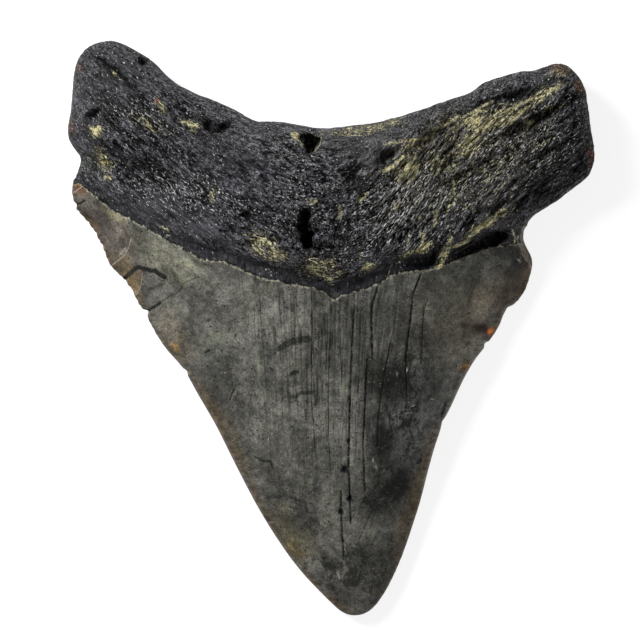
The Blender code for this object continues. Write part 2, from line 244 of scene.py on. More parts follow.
# Fine threads of yellow sediment on the root and across the gap.
threads = {
    "bridge": (0.42, 1, [(23.7, 17.6), (23.1, 15.6), (22.3, 14), (21.3, 12.2)]),
    "bridge's left side": (0.2, 0.9, [(22.5, 16.2), (21.7, 14.6), (20.9, 13)]),
    "long streak": (0.26, 1, [(26.3, 42), (28.7, 43.2), (30.3, 44.2), (31.9, 45)]),
    "over the gap": (0.34, 0.9, [(24.7, 16.2), (26.9, 17.2), (28.7, 19.4), (31.7, 21.8), (34.3, 23.6)]),
    "at the neck": (0.2, 0.8, [(36.1, 19.4), (36.7, 18), (36.5, 17.2)]),
    "left of the bridge": (0.22, 0.9, [(18.3, 19), (17.9, 17.2), (18.7, 15.6)]),
    "white thread": (0.13, 0.9, [(15.3, 18.8), (15.1, 16.4)]),
    "down to the enamel": (0.12, 0.6, [(12.1, 13), (11.1, 10.2)]),
    "drop": (0.26, 0.95, [(1.5, 24), (1.7, 21.6)]),
    "orange fleck": (0.32, 0.9, [(12.4, 24.4), (12.8, 23.4)]),
    "hook": (0.24, 0.95, [(20.3, 22.6), (20.9, 21.2), (20.1, 20.2)]),
    "beside the hook": (0.2, 0.8, [(17.5, 22.2), (17.3, 21)]),
    "right thread": (0.22, 0.9, [(24.1, 29.6), (24.5, 25.6), (23.9, 24.2)]),
    "dotted": (0.2, 0.7, [(5.3, 16), (5.7, 13)]),
    "mass's left tail": (0.3, 0.95, [(9.9, 30.8), (12.1, 32), (14.3, 34)]),
    "mass": (0.34, 0.9, [(13.6, 29.2), (14.8, 31), (16.6, 33.8)]),
    "mass's right side": (0.26, 0.8, [(15.6, 28.6), (16.6, 30.6), (17.3, 33)]),
    "middle streak": (0.28, 0.9, [(10.7, 36.4), (14.3, 37), (17.3, 37.4), (19.7, 37.8)]),
    "upper streak": (0.3, 0.85, [(20.3, 39.4), (22.7, 40.4), (25.1, 42)]),
    "outer streak": (0.28, 0.85, [(34.1, 42.8), (37.7, 44.6), (41.5, 46)]),
    "lobe streak": (0.26, 0.8, [(43.1, 46.8), (45.9, 48.6)]),
    "lobe fleck": (0.4, 1, [(38.9, 40.2), (39.9, 41)]),
    "small lobe streak": (0.16, 0.8, [(44, 42.6), (46.5, 44.8)]),
    "below the long streak": (0.3, 0.8, [(29.3, 37.8), (30.1, 40)]),
    "foramen's left rim": (0.42, 0.95, [(-7.3, 38.1), (-6.4, 37.3), (-5.8, 36.4)]),
    "foramen's lower rim": (0.14, 0.7, [(-2.1, 37.8), (-2.3, 36.4), (-3.2, 35.2), (-4.3, 34.7)]),
    "foramen's upper speck": (0.22, 0.8, [(-3.2, 38), (-2.8, 37.8)]),
    "in the foramen": (0.34, 0.9, [(-4.6, 35.7), (-3.7, 35.5)]),
    "in the slot": (0.2, 0.6, [(-4.1, 21.8), (-4.5, 20.8)]),
    "left streak": (0.2, 0.95, [(-29.7, 40.8), (-28.1, 40.8), (-26.7, 40.4)]),
    "under it": (0.22, 0.95, [(-27.9, 39.2), (-27.1, 39)]),
    "by the pink speck": (0.26, 0.7, [(-34.5, 44.4), (-33.5, 43.4)]),
    "left lobe": (0.4, 0.9, [(-47.9, 40), (-46.9, 39), (-46.1, 40)]),
    "lobe dot": (0.22, 0.9, [(-43.4, 50.8), (-43.1, 50.5)]),
    "lobe's light line": (0.1, 0.6, [(-40.5, 42.4), (-37.5, 40.6), (-34.5, 38.6)]),
    "second light line": (0.1, 0.5, [(-36.5, 42.4), (-34.1, 40.2), (-31.5, 38.4)]),
}

# Where the outline stands out a little further than the solid's: centre, reach, shift.
bulges = {
    "left shoulder": ((-44.5, 14), 9, (-0.7, -0.35)),
    "upper left shoulder": ((-50, 24), 6, (-0.7, -0.2)),
    "left side": ((-33, -2), 10, (-0.45, -0.2)),
    "right lobe's side": ((50.5, 30), 6, (0.45, -0.25)),
    "under the right lobe": ((44, 26.5), 8, (0.3, -0.45)),
    "right step": ((37, 6), 6, (0.5, -0.1)),
    "right side": ((30.5, -4.5), 9, (0.35, -0.15)),
    "tip": ((5, -55), 9, (0, -0.1)),
}
# Small breaks in the cutting edge: centre, reach, depth.
notches = {
    "left notch": ((-36.9, 3.4), 0.9, 0.7),
    "left lower notch": ((-28.9, -8.6), 1.1, 0.35),
    "corner": ((-51.2, 24.8), 0.8, 0.5),
    "right step": ((35.3, 4.2), 1.2, 0.25),
    "right middle": ((31, -3.2), 1, 0.4),
    "right notch": ((22.6, -15.6), 1.1, 0.5),
    "right low": ((17.9, -26.6), 0.8, 0.3),
}

# Where painted highlights glint on worn grains of the root: centre, half length, half width, turn, strength.
glitter = {
    "left": ((-30, 27), 17, 4.5, -14, 0.85),
    "below the foramen": ((-4, 26), 9, 8, 0, 0.6),
    "right of the slot": ((6, 17), 9, 5, 10, 0.8),
    "right middle": ((15, 24), 15, 8, 22, 1.5),
    "left flow": ((-36, 41), 9, 3.5, -38, 0.8),
    "right lobe": ((36, 36), 16, 8, 28, 0.85),
    "left lobe": ((-42, 40), 8, 7, 0, 0.35),
}
# Where painted shade darkens the root's most broken-up hollows: centre, half length, half width, turn,
# strength.
hollowShading = {
    "right": ((26, 28), 22, 13, 28, 1),
    "right lobe": ((44, 38), 12, 12, 30, 0.9),
    "middle": ((4, 22), 16, 8, 0, 0.6),
    "left": ((-26, 27), 16, 5, -14, 0.35),
}
# Where the root is worn smooth: centre, half length, half width, turn, strength.
worn = {
    "left of the middle": ((-31, 22), 13.5, 4.6, -25, 1),
    "left side": ((-49.5, 44), 4.5, 11, 0, 0.9),
    "over the gap": ((31, 19.5), 8, 2, 28, 0.9),
    "middle left": ((-22, 29), 9, 3, -25, 0.5),
    "upper slope": ((8, 35.5), 8.5, 4.5, 10, 0.8),
    "left lobe": ((-43, 50.5), 9, 6.5, -30, 0.8),
    "upper middle": ((-20, 34), 11, 5.5, -28, 0.6),
    "right lobe's end": ((44, 33), 9, 4, 35, 0.6),
    "right of the thread": ((30, 26.8), 8.5, 5, 25, 0.65),
    "over the bridge": ((22.5, 20.2), 5, 2.4, 20, 0.7),
    "over the ledge": ((8, 13.5), 5, 2, 15, 0.6),
    "neck": ((35, 19.5), 5, 2.5, 30, 0.7),
}

# Soft patches of tint, on the crown and the root, two of the root's being painted light and shade: centre,
# half length, half width, turn, strength, colour.
tints = {
    "crown": {
        "tan shoulder": ((-44, 17), 12, 5.5, -55, 0.9, (0.086, 0.074, 0.06)),
        "left edge": ((-27, -12), 12, 3.5, -58, 0.7, (0.062, 0.06, 0.053)),
        "violet flake": ((-45, 19.4), 7, 3.4, -58, 0.85, (0.118, 0.1, 0.086)),
        "gold flake": ((-40.5, 10.2), 4.4, 2.2, -55, 0.9, (0.24, 0.17, 0.085)),
        "olive left": ((-32.5, 13.5), 8, 3.4, -28, 0.8, (0.215, 0.21, 0.16)),
        "below the notch": ((-31, -1), 7, 3, -58, 0.5, (0.15, 0.115, 0.075)),
        "pale upper middle": ((-14, 1), 17, 9, 0, 0.7, (0.16, 0.158, 0.138)),
        "pale middle": ((-8, -16), 14, 8, -70, 0.6, (0.145, 0.143, 0.126)),
        "pale strip": ((1.5, -12), 14, 2.6, 88, 0.5, (0.155, 0.153, 0.14)),
        "pale by the point": ((10, 4), 9, 4, 30, 0.5, (0.135, 0.135, 0.128)),
        "dark right": ((16, -18), 15, 8, 75, 0.85, (0.106, 0.106, 0.102)),
        "dark right blotch": ((12, -11.5), 6.5, 4.6, -40, 0.92, (0.019, 0.019, 0.019)),
        "dark band": ((10.8, -23), 5.6, 2.2, -75, 0.85, (0.02, 0.02, 0.02)),
        "dark lower blotch": ((12.3, -31.2), 6, 3, 28, 0.88, (0.022, 0.022, 0.021)),
        "dark low streak": ((8, -36), 4, 2, -40, 0.6, (0.03, 0.03, 0.028)),
        "light right spot": ((18.2, -18), 4, 2.2, 78, 0.6, (0.13, 0.13, 0.122)),
        "light lower right": ((9.5, -34.5), 2.6, 1.4, 30, 0.5, (0.085, 0.085, 0.08)),
        "dark left cloud": ((-22, -7), 6, 3.5, -50, 0.5, (0.075, 0.075, 0.066)),
        "grey right": ((26, 0.5), 9, 5.5, 60, 0.85, (0.23, 0.212, 0.165)),
        "brown right": ((31, 5.5), 7, 4, 50, 0.6, (0.195, 0.158, 0.12)),
        "dark shoulder": ((36.2, 15), 4, 2.4, -20, 0.9, (0.022, 0.022, 0.021)),
        "grey shoulder": ((30, 12.5), 8, 3.4, 20, 0.6, (0.1, 0.098, 0.088)),
        "brown shoulder": ((37, 8), 5.5, 3.4, 60, 0.8, (0.1, 0.072, 0.053)),
        "red patch": ((30.4, -0.5), 3.3, 2, -33, 1, (0.018, 0.007, 0.005)),
        "orange spot": ((31.9, -0.8), 1, 0.6, 60, 1, (0.62, 0.17, 0.012)),
        "rust line": ((32.6, -2.4), 1.8, 0.4, 58, 0.8, (0.2, 0.07, 0.015)),
        "ochre spot": ((26.9, -7.6), 1.3, 0.8, 20, 0.9, (0.33, 0.18, 0.04)),
        "pale by the ring": ((24.8, 3), 3.6, 1.8, 80, 0.55, (0.235, 0.225, 0.18)),
        "brown ring": ((26.9, 0.6), 1.5, 1, 0, 0.9, (0.045, 0.02, 0.008)),
        "ochre left": ((-31.3, -4), 1.1, 0.8, -50, 0.9, (0.3, 0.19, 0.07)),
        "ochre low": ((-7.3, -44.3), 2.6, 1.6, -50, 0.7, (0.17, 0.12, 0.04)),
        "olive low": ((-8, -41), 7, 2.6, -58, 0.65, (0.125, 0.108, 0.062)),
        "gold edge right": ((16.9, -32.4), 13, 1.7, 72, 0.65, (0.135, 0.098, 0.05)),
        "brown left edge": ((-21, -20), 12, 1.5, -60, 0.5, (0.13, 0.1, 0.062)),
        "tip": ((6, -51), 6.5, 5.5, -60, 0.6, (0.08, 0.077, 0.068)),
        "rust corner": ((-50.6, 28.6), 2.2, 1.4, -60, 1, (0.15, 0.06, 0.025)),
        "gold fringe left": ((-43.5, 22.6), 3, 0.9, -38, 0.8, (0.26, 0.235, 0.15)),
        "olive right": ((22.5, 2.5), 7, 6, 0, 0.55, (0.16, 0.15, 0.118)),
    },
    "root": {
        "right side": ((30, 33), 28, 15, 25, 0.8, (0.066, 0.065, 0.068)),
        "golden part": ((24, 38), 15, 6, 20, 0.6, (0.15, 0.146, 0.132)),
        # painted light: the root's upper ridge made lighter where it faces the light
        "lit upper ridge": ((-4, 36.5), 22, 4, 0, 0.55, (0.085, 0.085, 0.086)),
        "smooth slope": ((8, 35.5), 8, 4, 10, 0.6, (0.072, 0.071, 0.073)),
        "smooth left": ((-31, 22.4), 11, 3.6, -26, 0.6, (0.066, 0.065, 0.075)),
        "left lobe": ((-44, 48), 10, 8, 0, 0.5, (0.076, 0.076, 0.078)),
        "left neck": ((-49, 33), 4, 3, 0, 0.6, (0.055, 0.062, 0.05)),
        # painted shade: the right lobe's lower right, which slopes away from the light
        "dark right": ((46, 32.5), 8, 6, 30, 0.7, (0.02, 0.02, 0.022)),
        "rust top": ((45.4, 51.4), 2.6, 1.5, 0, 0.9, (0.11, 0.07, 0.04)),
        "rust side": ((49.6, 48.2), 1.6, 1, -60, 0.9, (0.16, 0.065, 0.03)),
        "rust low": ((52, 34.4), 1.1, 2.4, 0, 0.9, (0.11, 0.045, 0.025)),
        "rust left edge": ((-52.3, 39.6), 1.2, 2, 0, 0.7, (0.11, 0.06, 0.045)),
        "rust left lobe": ((-50.5, 52), 1.6, 1.2, 0, 0.6, (0.1, 0.06, 0.05)),
        "pink speck": ((-34.7, 45.2), 0.7, 0.6, 0, 0.9, (0.33, 0.18, 0.15)),
    },
}
# Where dark smudges crowd the enamel: centre, half length, half width, turn, strength.
smudged = {
    "right of the middle": ((14, -16), 18, 6.5, 80, 1),
    "lower right": ((10, -32), 8, 6, 40, 1),
    "lower left": ((-4, -36), 9, 6, -55, 0.6),
    "left": ((-16, -14), 12, 7, -60, 0.45),
    "upper middle": ((-6, -3), 12, 5, 0, 0.45),
    "tip": ((3, -49), 10, 8, 0, 0.8),
    "shoulder": ((33, 10), 8, 5, 30, 0.35),
}
# Yellow sediment caught in the root: centre, half length, half width, turn, strength.
sediment = {
    "top margin": ((6, 39.8), 8, 1.3, 8, 0.75),
    "top margin's right": ((12.4, 41.2), 2, 1, 20, 1),
    "upper streak": ((28, 41.6), 5.2, 1.5, 30, 1.1),
    "long streak": ((33, 41.6), 7.5, 2, 24, 1.1),
    "outer streak": ((42, 46), 5, 1.4, 26, 0.75),
    "below the long streak": ((27, 36.6), 5, 2.2, 26, 0.85),
    "middle olive": ((21.4, 32), 2.6, 2, 30, 0.95),
    "inner streak": ((17, 36.8), 4.2, 1.2, 22, 0.9),
    "by the hollow": ((14.8, 31.4), 3.4, 2.8, 60, 1.15),
    "hollow's corner": ((12, 31.6), 1.6, 0.9, 20, 1.2),
    "lobe speck": ((39.5, 40.4), 1.2, 0.9, 40, 1.1),
    "second lobe speck": ((43.4, 43.6), 0.9, 0.6, 40, 0.9),
    "rust edge": ((44.6, 50.4), 2, 0.9, 0, 0.6),
    "left of the slot": ((-13.8, 17), 3.6, 2.3, -35, 0.98),
    "left of the slot, lower": ((-11.4, 14.7), 3, 1.7, -20, 0.98),
    "over the point": ((-2.4, 11.7), 4.4, 2.4, -10, 1.15),
    "right of the point": ((7.1, 12), 1.6, 1.1, 30, 1),
    "over the ledge": ((16.6, 15.4), 4, 1.4, 25, 1.05),
    "at the gap": ((22.2, 14.2), 3, 0.95, 66, 1.4),
    "streak over the gap": ((30.6, 20.6), 6.4, 0.9, 33, 1.05),
    "thread right": ((23.6, 25.4), 2.8, 0.4, 80, 0.9),
    "thread middle": ((20.8, 22.2), 1.6, 0.4, 75, 0.85),
    "orange speck": ((5.8, 25.4), 1.2, 0.7, 60, 1.1),
    "right speck": ((12.9, 23.8), 0.9, 0.5, 70, 1),
    "far speck": ((17.6, 18.6), 0.8, 0.5, 70, 0.9),
    "foramen's rim": ((-7, 37.8), 1.2, 0.8, -40, 1.3),
    "left lobe": ((-46.8, 39.2), 1.8, 1.2, 40, 1.2),
    "left neck": ((-45.4, 33), 3.6, 1.4, -60, 0.7),
    "neck speck": ((-44.6, 29.8), 1, 0.6, 0, 0.9),
    "left lobe speck": ((-43.3, 50.8), 0.8, 0.4, -40, 0.9),
    "by the pink speck": ((-33.8, 44), 1.4, 0.9, -50, 0.9),
    "under the left pit": ((-28, 40.4), 2.4, 0.6, -15, 0.9),
    "left thread": ((-37, 41), 3.2, 0.5, -40, 0.7),
    "on the band": ((-33, 19.4), 1.1, 0.6, -30, 1.2),
    "left speck": ((-23.7, 26.2), 1.7, 0.8, 75, 1.05),
    "slot speck": ((-3.4, 25), 0.8, 0.6, 0, 1),
    "middle speck": ((1.7, 22.6), 0.9, 0.4, 80, 0.9),
    "band's left end": ((-16.4, 12.3), 1, 0.7, -20, 0.8),
    "thin veil": ((26, 33), 20, 11, 25, 0.24),
}
# Openings and furrows, with painted shade inside: centre, half length, half width, turn, depth, how dark the
# painted shade inside is.
openings = {
    "foramen slot": ((-5.3, 21.4), 2.5, 1.35, 78, 2, 1),
    "slot's right arm": ((-3.4, 18.9), 1.2, 0.7, 10, 1, 0.9),
    "slot's left arm": ((-6, 19.4), 1.1, 0.7, 0, 1, 0.9),
    "slot's lower part": ((-4.9, 17.6), 3, 0.95, 97, 2, 1),
    "upper foramen": ((-4.5, 37.5), 2.3, 1.2, 0, 2.2, 0.95),
    "upper foramen's foot": ((-4.3, 36), 1.5, 1.2, 80, 2.2, 0.95),
    "left pit": ((-24.2, 39.7), 1.8, 0.8, -40, 1.2, 1),
    "left pit's right arm": ((-21.4, 40), 2.2, 0.95, 32, 1.4, 1),
    "lobe pit": ((-47.6, 42.4), 2.2, 1.1, 20, 1.1, 0.35),
    "lobe nick": ((-37.6, 53.2), 1.1, 0.8, -35, 0.9, 0.9),
    "gold hollow": ((11, 34.2), 2, 1, 40, 1, 0.8),
    "ledge hollow": ((17.2, 12.9), 3.6, 1.1, 8, 1, 0.75),
    "small pit": ((-17, 22.4), 1, 0.8, 20, 0.9, 0.9),
    "gap": ((29.5, 16.4), 6.8, 1, 21, 2.2, 1),
    "gap's right part": ((32.6, 17.8), 3.2, 1.2, 20, 1.6, 1),
    "gap's left end": ((20, 14), 2, 0.6, 62, 1, 0.8),
    "left lobe furrow": ((-43.2, 51.4), 6, 1, -37, 1.1, 0.6),
    "left lobe second furrow": ((-39, 46), 6, 0.7, -50, 0.7, 0.45),
    "upper right furrow": ((35.5, 46.2), 8.5, 1.1, 17, 1.3, 0.65),
    "lower right furrow": ((41, 41.4), 9, 1.3, 28, 1.5, 0.7),
    "low right furrow": ((44, 35.5), 6.5, 0.8, 28, 0.8, 0.6),
    "inner right furrow": ((20.6, 38.4), 7, 1, 33, 0.9, 0.5),
    "middle furrow": ((28, 31.5), 7, 0.7, 28, 0.7, 0.5),
    "band's pit": ((-17.3, 12), 0.9, 0.5, 60, 0.5, 0.8),
    "upper hole in the crown": ((2.7, -28.2), 0.85, 0.7, 70, 0.5, 1),
    "lower hole in the crown": ((3.7, -34), 0.75, 0.6, 70, 0.5, 1),
    "small hole in the crown": ((1.9, -36.7), 0.6, 0.4, 90, 0.3, 0.9),
    "brown hole in the crown": ((3.3, -22.6), 0.45, 0.35, 90, 0.2, 0.7),
    "dot in the crown": ((3.9, -3.4), 0.35, 0.3, 0, 0.15, 0.8),
    "second dot in the crown": ((6.6, -28.2), 0.3, 0.25, 0, 0.15, 0.7),
}

# How strokes, patches and openings are drawn.
drawing = {
    "lineSlant": 0.87,                 # the crossing lines slope, so they are nearer than along Y
    "farOff": 9.0,
    "strokeFade": 0.42,
    "strokeFadeFrom": 0.7,
    "strokeWaver": (1.0, 0.07, 1),     # size, amount and seed
    "patchWaver": (4.0, 1.6, 2),
    "patchRuffle": (1.3, 0.7, 3),
    "openingWaver": (1.0, 0.45, 4),
    "patchEdge": (0.25, 1.4),
    "unevenFrom": 2.6,
    "pitWidth": 0.42,
    "upperFade": (-0.25, 0.1),         # the normal's Z where the photographed face begins
}
seedSteps = {"waver": (7.3, 2.9, 0.0), "bumps": (11.3, 4.7, 7.9), "pitting": (5.1, 3.3, 9.1)}


def smoothStep(value, low, high):
    t = np.clip((value - low) / (high - low), 0, 1)
    return t * t * (3 - 2 * t)


def bell(value, width):
    return np.exp(-((value / width) ** 2))


def atLeast(least, share):
    return least + (1 - least) * share


def seedShift(kind, seed):
    return Vector([seed * step for step in seedSteps[kind]])


def waver(points, size, amount, seed):
    # pushes each place aside by smooth noise, so that what is drawn there has an uneven outline
    shift = seedShift("waver", seed)
    return points + amount * np.array([noise.noise_vector(Vector(p) / size + shift) for p in points])


def bumps(points, size, seed):
    shift = seedShift("bumps", seed)
    return np.array([noise.noise(Vector(p) / size + shift) for p in points])


def pitting(points, spacing, seed):
    shift = seedShift("pitting", seed)
    nearest = [noise.voronoi(Vector(p) / spacing + shift)[0][0] for p in points]
    return 1 - smoothStep(np.array(nearest), 0.0, drawing["pitWidth"])


def awayFrom(points, centre):
    return np.hypot(points[:, 0] - centre[0], points[:, 1] - centre[1])


def softEllipse(points, centre, halfLength, halfWidth, turn):
    # 0 at the centre, 1 at the ellipse
    c, s = math.cos(math.radians(turn)), math.sin(math.radians(turn))
    x, y = points[:, 0] - centre[0], points[:, 1] - centre[1]
    return np.hypot((x * c + y * s) / halfLength, (y * c - x * s) / halfWidth)


def aboveLine(points, name):
    line = np.array(landmarks[name])
    return points[:, 1] - np.interp(points[:, 0], line[:, 0], line[:, 1])


def beyondLine(points, name):
    # distance from a line that crosses the tooth, positive on the root's side
    return aboveLine(points, name) * drawing["lineSlant"]


def nearestStroke(points, strokes):
    # the nearest stroke: signed distance in its own half widths, strength there, and plain distance
    offset = np.full(len(points), drawing["farOff"])
    weight = np.zeros(len(points))
    closest = np.full(len(points), np.inf)
    for halfWidth, strength, stations in strokes.values():
        reach = halfWidth + drawing["strokeFade"]
        for (ax, ay), (bx, by) in zip(stations[:-1], stations[1:]):
            x, y = points[:, 0] - ax, points[:, 1] - ay
            dx, dy = bx - ax, by - ay
            along = np.clip((x * dx + y * dy) / (dx * dx + dy * dy), 0, 1)
            px, py = x - along * dx, y - along * dy
            away = np.hypot(px, py)
            nearer = away < closest
            closest[nearer] = away[nearer]
            offset[nearer] = (np.sign(px * dy - py * dx) * away / halfWidth)[nearer]
            fading = 1 - smoothStep(away, drawing["strokeFadeFrom"] * reach, reach)
            weight[nearer] = (strength * fading)[nearer]
    return offset, weight, closest


def patch(points, patchy, centre, halfLength, halfWidth, turn):
    # 1 inside a patch and 0 outside; a large patch has the more uneven outline
    share = min(1, halfWidth / drawing["unevenFrom"])
    away = softEllipse(points + share * (patchy - points), centre, halfLength, halfWidth, turn)
    return 1 - smoothStep(away, *drawing["patchEdge"])


def strongest(points, patchy, patches):
    # the strength of the strongest patch at each place
    found = np.zeros(len(points))
    for *shape, strength in patches.values():
        found = np.maximum(found, strength * patch(points, patchy, *shape))
    return found


def eachOpening(points, edge):
    # each opening's depth and how dark its painted shade is, and how far inside it the places are
    ruffled = waver(points, *drawing["openingWaver"])
    for *shape, depth, shadeInside in openings.values():
        yield depth, shadeInside, 1 - smoothStep(softEllipse(ruffled, *shape), *edge)


def readPoints(mesh):
    co = np.empty(len(mesh.vertices) * 3)
    mesh.vertices.foreach_get("co", co)
    return co.reshape(-1, 3) / mm


def writePoints(mesh, points):
    mesh.vertices.foreach_set("co", (points * mm).ravel())
    mesh.update()


def readNormals(mesh):
    normals = np.empty(len(mesh.vertices) * 3)
    mesh.vertex_normals.foreach_get("vector", normals)
    return normals.reshape(-1, 3)


def store(mesh, name, values):
    kinds = {1: ("FLOAT", "value"), 3: ("FLOAT_VECTOR", "vector"), 4: ("FLOAT_COLOR", "color")}
    kind, field = kinds[1 if values.ndim == 1 else values.shape[1]]
    mesh.attributes.new(name, kind, "POINT").data.foreach_set(field, values.astype(np.float32).ravel())


# How fine the mesh is, and where.
meshing = {
    "voxel": 0.735,
    "upperFrom": -0.3,          # only faces whose normal has this Z or more are made finer
    "lineReach": 1.0,           # from this far outside the enamel line
    "strokeReach": 1.0,         # this near to a stroke
    "edgeReach": 1.5,           # or this near to the rim
    "deepStroke": 0.13,         # cracks at least this wide make it finer again
    "deepStrokeReach": 0.45,
    "rimSteepness": 0.45,       # the rim is where the normal's Z is less than this
    "openingReach": 1.6,
    "mergeDistance": 0.001,
}


def applied(obj, name):
    graph = bpy.context.evaluated_depsgraph_get()
    mesh = bpy.data.meshes.new_from_object(obj.evaluated_get(graph))
    bpy.data.objects.remove(obj)
    new = bpy.data.objects.new(name, mesh)
    bpy.context.scene.collection.objects.link(new)
    return new


def refine(obj, wanted):
    # cuts each wanted face in four
    bm = bmesh.new()
    bm.from_mesh(obj.data)
    bm.verts.ensure_lookup_table()
    edges = {e for f in bm.faces if all(wanted[v.index] for v in f.verts) for e in f.edges}
    edges = sorted(edges, key=lambda e: e.index)    # so that each run cuts them in the same order
    bmesh.ops.subdivide_edges(bm, edges=edges, cuts=1, use_grid_fill=True)
    bm.to_mesh(obj.data)
    bm.free()


def solidCopy():
    bm = bmesh.new()
    bm.from_mesh(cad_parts["tooth"].data)
    bmesh.ops.remove_doubles(bm, verts=bm.verts, dist=mm * meshing["mergeDistance"])
    return meshObject("solidCopy", bm)


def rimDistance(points, normals):
    # distance from the widest line round the tooth
    inside = np.zeros(len(points), dtype=bool)
    for *shape, _, _ in openings.values():
        inside |= softEllipse(points, *shape) < meshing["openingReach"]
    rim = np.nonzero((np.abs(normals[:, 2]) < meshing["rimSteepness"]) & ~inside)[0]
    places = kdtree.KDTree(len(rim))
    for i, index in enumerate(rim):
        places.insert(Vector((*points[index, :2], 0)), i)
    places.balance()
    return np.array([places.find(Vector((x, y, 0)))[2] for x, y in points[:, :2]])


def denseTooth():
    # an even mesh over the solid, finer on the root, along the strokes and at the thin edge
    solid = solidCopy()
    obj = bpy.data.objects.new("fossilTooth", solid.data.copy())
    bpy.context.scene.collection.objects.link(obj)
    even = obj.modifiers.new("even faces", "REMESH")
    even.mode = "VOXEL"
    even.voxel_size = meshing["voxel"] * mm
    obj = applied(obj, "fossilTooth")
    points, normals = readPoints(obj.data), readNormals(obj.data)
    side = beyondLine(points, "enamelLine")
    closest = np.min([nearestStroke(points, strokes)[2] for strokes in (cracks, chipAndHighlights, stains)], axis=0)
    upper = normals[:, 2] > meshing["upperFrom"]
    byEdge = rimDistance(points, normals) < meshing["edgeReach"]
    onEdge = byEdge & (upper | (side < meshing["lineReach"]))
    marked = upper & ((side > -meshing["lineReach"]) | (closest < meshing["strokeReach"]))
    refine(obj, marked | onEdge)

    points, normals = readPoints(obj.data), readNormals(obj.data)
    deep = {name: stroke for name, stroke in cracks.items() if stroke[0] >= meshing["deepStroke"]}
    closest = nearestStroke(waver(points, *drawing["strokeWaver"]), deep)[2]
    refine(obj, (normals[:, 2] > meshing["upperFrom"]) & (closest < meshing["deepStrokeReach"]))
    wrap = obj.modifiers.new("on the solid", "SHRINKWRAP")
    wrap.target = solid
    wrap.wrap_method = "NEAREST_SURFACEPOINT"
    obj = applied(obj, "fossilTooth")
    bpy.data.objects.remove(solid)
    return obj


# The low relief that is carved into the mesh.
carving = {
    "rootSmoothing": 5,
    "crownSmoothing": 26,
    "rimSmoothing": 20,
    "plainSteps": (0.5,),
    "keepingSteps": (0.5, -0.53),    # a step back after each step, so that the thin edge keeps its place
    "depthSmoothing": 8,
    "rimWidth": (0.8, 2.4),
    "rimPush": 0.22,
    "rimReach": (0.9, 0.0),
    "notchFloor": 0.1,
    "tableGap": 0.02,
    "openingSlope": (0.25, 1.15),
    "hollowFade": (0.3, 1.2),
    "crackDepth": 0.17,
    "crackSlope": (0.3, 1.7),
    "rootStart": (-0.1, 0.5),
    "backShare": 0.35,               # the share of the root's relief that is left on the hidden side
    "rimShare": 0.25,                # and at the rim
    "rimFade": (0.3, 2.6),
    "wornLoss": 0.75,
    "lumps": ((5.5, 0.5, 1), (2.4, 0.42, 2), (1.1, 0.26, 3)),    # size, height and seed
    "foldSize": 1.9,
    "foldStretch": 4.0,
    "foldDepth": 0.55,
    "foldWidth": 0.16,
    "foldShade": 0.7,
    "fibreSize": 0.85,
    "fibreStretch": 3.0,
    "fibreHeight": 0.34,
    "uprightPart": ((-3.0, 17.0), 14, 9, 0),    # over the crown's point the fibres stand upright
    "uprightFade": (1.1, 0.5),
    "uprightFoldLoss": 0.8,
    "pitSpacing": 1.5,
    "pitDepth": 0.5,
    "pitZoneSize": 2.0,
    "pitZoneEdge": (-0.15, 0.35),
    "grainSize": 0.5,
    "grainHeight": 0.16,
    "bandRidge": 0.26,
    "bandRidgeWidth": 0.35,
    "bandStep": 0.22,
    "bandFoot": (-0.05, 0.25),
    "bandHead": (-0.6, 0.0),
    "bandFade": (0.7, 2.2),
    "fringe": 0.10,
    "fringePlace": -0.35,
    "fringeWidth": 0.3,
}
seeds = {"fibres": 5, "upright fibres": 6, "grain": 7, "pit zones": 8, "folds": 9, "pits": 1}


def relax(mesh, values, rounds, steps=carving["plainSteps"]):
    # each step of each round moves every value by that share of the way to its neighbours' mean
    ends = np.empty(len(mesh.edges) * 2, dtype=int)
    mesh.edges.foreach_get("vertices", ends)
    a, b = ends.reshape(-1, 2).T
    count = len(values)
    links = np.bincount(a, minlength=count) + np.bincount(b, minlength=count)
    values = values.copy()
    for step in steps * rounds:
        before = values.copy()
        for axis in range(values.shape[1]):
            total = np.bincount(a, before[b, axis], count) + np.bincount(b, before[a, axis], count)
            values[:, axis] += step * (total / links - before[:, axis])
    return values


def evenOut(mesh, points, onRoot, depth):
    # smooths the crown more than the root, and lets the outline swell where the photographed one does
    smooth = relax(mesh, points, carving["crownSmoothing"])
    rough = relax(mesh, points, carving["rootSmoothing"])
    rim = relax(mesh, points, carving["rimSmoothing"], carving["keepingSteps"])
    inner = smoothStep(depth, *carving["rimWidth"])[:, None]
    onRoot = onRoot[:, None]
    points = (smooth * inner + rim * (1 - inner)) * (1 - onRoot) + rough * onRoot
    for centre, reach, shift in bulges.values():
        points[:, :2] += np.array(shift) * (1 - smoothStep(awayFrom(points, centre), 0, reach))[:, None]
    return points


def rootRelief(points, flow, middle):
    # lumps and folds, and the fine relief of fibres, grain and pits
    relief = np.zeros(len(points))
    for size, height, seed in carving["lumps"]:
        relief += height * bumps(points, size, seed)
    fibres = flow / np.array([carving["fibreStretch"], 1, 1])
    upright = points / np.array([1, carving["fibreStretch"], 1])
    along = bumps(fibres, carving["fibreSize"], seeds["fibres"]) * (1 - middle)
    along += bumps(upright, carving["fibreSize"], seeds["upright fibres"]) * middle
    grain = bumps(points, carving["grainSize"], seeds["grain"])
    fine = carving["fibreHeight"] * along + carving["grainHeight"] * grain
    foldNoise = bumps(flow / np.array([carving["foldStretch"], 1, 1]), carving["foldSize"], seeds["folds"])
    folds = carving["foldDepth"] * (1 - smoothStep(np.abs(foldNoise), 0.0, carving["foldWidth"]))
    relief -= folds * (1 - carving["uprightFoldLoss"] * middle)
    zones = smoothStep(bumps(points, carving["pitZoneSize"], seeds["pit zones"]), *carving["pitZoneEdge"])
    fine -= carving["pitDepth"] * (pitting(points, carving["pitSpacing"], seeds["pits"]) * zones)
    return relief, fine, folds


